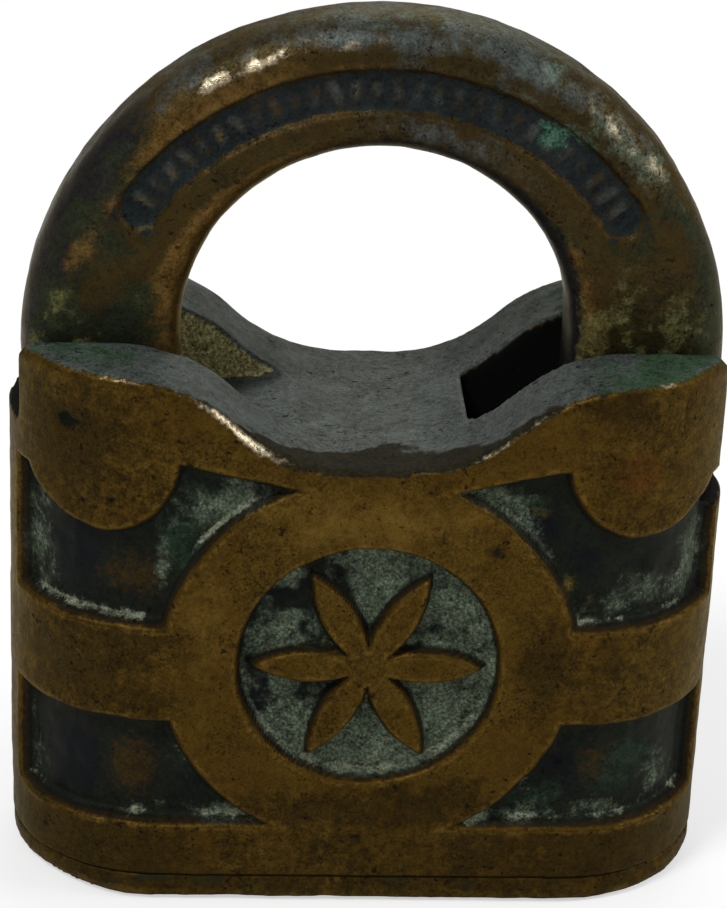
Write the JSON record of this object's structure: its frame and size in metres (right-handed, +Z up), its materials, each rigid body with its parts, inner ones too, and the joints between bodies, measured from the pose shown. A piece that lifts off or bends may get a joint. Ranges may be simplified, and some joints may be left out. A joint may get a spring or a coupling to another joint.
{
  "type": "padlock",
  "caption": "Heavy cast-bronze padlock with raised relief bands, a broad swinging shackle and a pin-tumbler cylinder that drives a sliding bolt, weathered.",
  "frame": {"origin": "middle of the flat base, on the surface the padlock stands on", "axes": "+Z up through the top of the shackle, -Y out of the front face, +X towards the shackle heel and its hinge pin"},
  "size_m": [0.0578, 0.0248, 0.0724],
  "materials": {
    "cast_bronze": "weathered cast bronze, brown with green tarnish in the sunk panels",
    "shackle_bronze": "weathered cast bronze, rubbed brown and slate",
    "brass_rivet": "dull worn brass",
    "bronze_pin": "dull bronze, peened and dressed flush",
    "plug_brass": "worn brass with dark grime in the keyway",
    "lock_brass": "machined brass, lightly tarnished",
    "bolt_brass": "machined brass, rubbed",
    "pin_brass": "turned brass",
    "spring_bronze": "phosphor bronze wire",
    "steel": "dark turned steel"
  },
  "bodies": {
    "case": {"case": "cast_bronze", "base_plate": "cast_bronze", "base_rivet_left": "brass_rivet", "base_rivet_right": "brass_rivet", "hinge_pin": "bronze_pin", "cylinder_shell": "lock_brass", "shell_dowel": "steel", "chamber_strip": "lock_brass", "bolt_keeper": "lock_brass", "keeper_screw_front": "steel", "keeper_screw_back": "steel", "driver_pin_1": "pin_brass", "driver_pin_2": "pin_brass", "driver_pin_3": "pin_brass", "driver_pin_4": "pin_brass", "driver_pin_5": "pin_brass", "pin_spring_1": "spring_bronze", "pin_spring_2": "spring_bronze", "pin_spring_3": "spring_bronze", "pin_spring_4": "spring_bronze", "pin_spring_5": "spring_bronze"},
    "shackle": {"shackle": "shackle_bronze"},
    "plug": {"cylinder_plug": "plug_brass", "drive_cam": "steel", "cam_screw_front": "steel", "cam_screw_back": "steel", "drive_pin": "steel", "key_pin_1": "pin_brass", "key_pin_2": "pin_brass", "key_pin_3": "pin_brass", "key_pin_4": "pin_brass", "key_pin_5": "pin_brass"},
    "bolt": {"locking_bolt": "bolt_brass"}
  },
  "joints": [
    {"name": "shackle_swing", "type": "hinge", "parent": "case", "child": "shackle", "pos_m": [0.02155, 0, 0.03974], "axis": [0, 1, 0], "range_deg": [0, 90]},
    {"name": "plug_turn", "type": "hinge", "parent": "case", "child": "plug", "pos_m": [0, 0, 0.012], "axis": [0, 0, 1], "range_deg": [0, 90]},
    {"name": "bolt_slide", "type": "slide", "parent": "case", "child": "bolt", "axis": [-1, 0, 0], "range_m": [0, 0.00312]}
  ],
  "couplings": [
    {"joint": "bolt_slide", "follows": "plug_turn", "m_per_rad": 0.0019807}
  ]
}
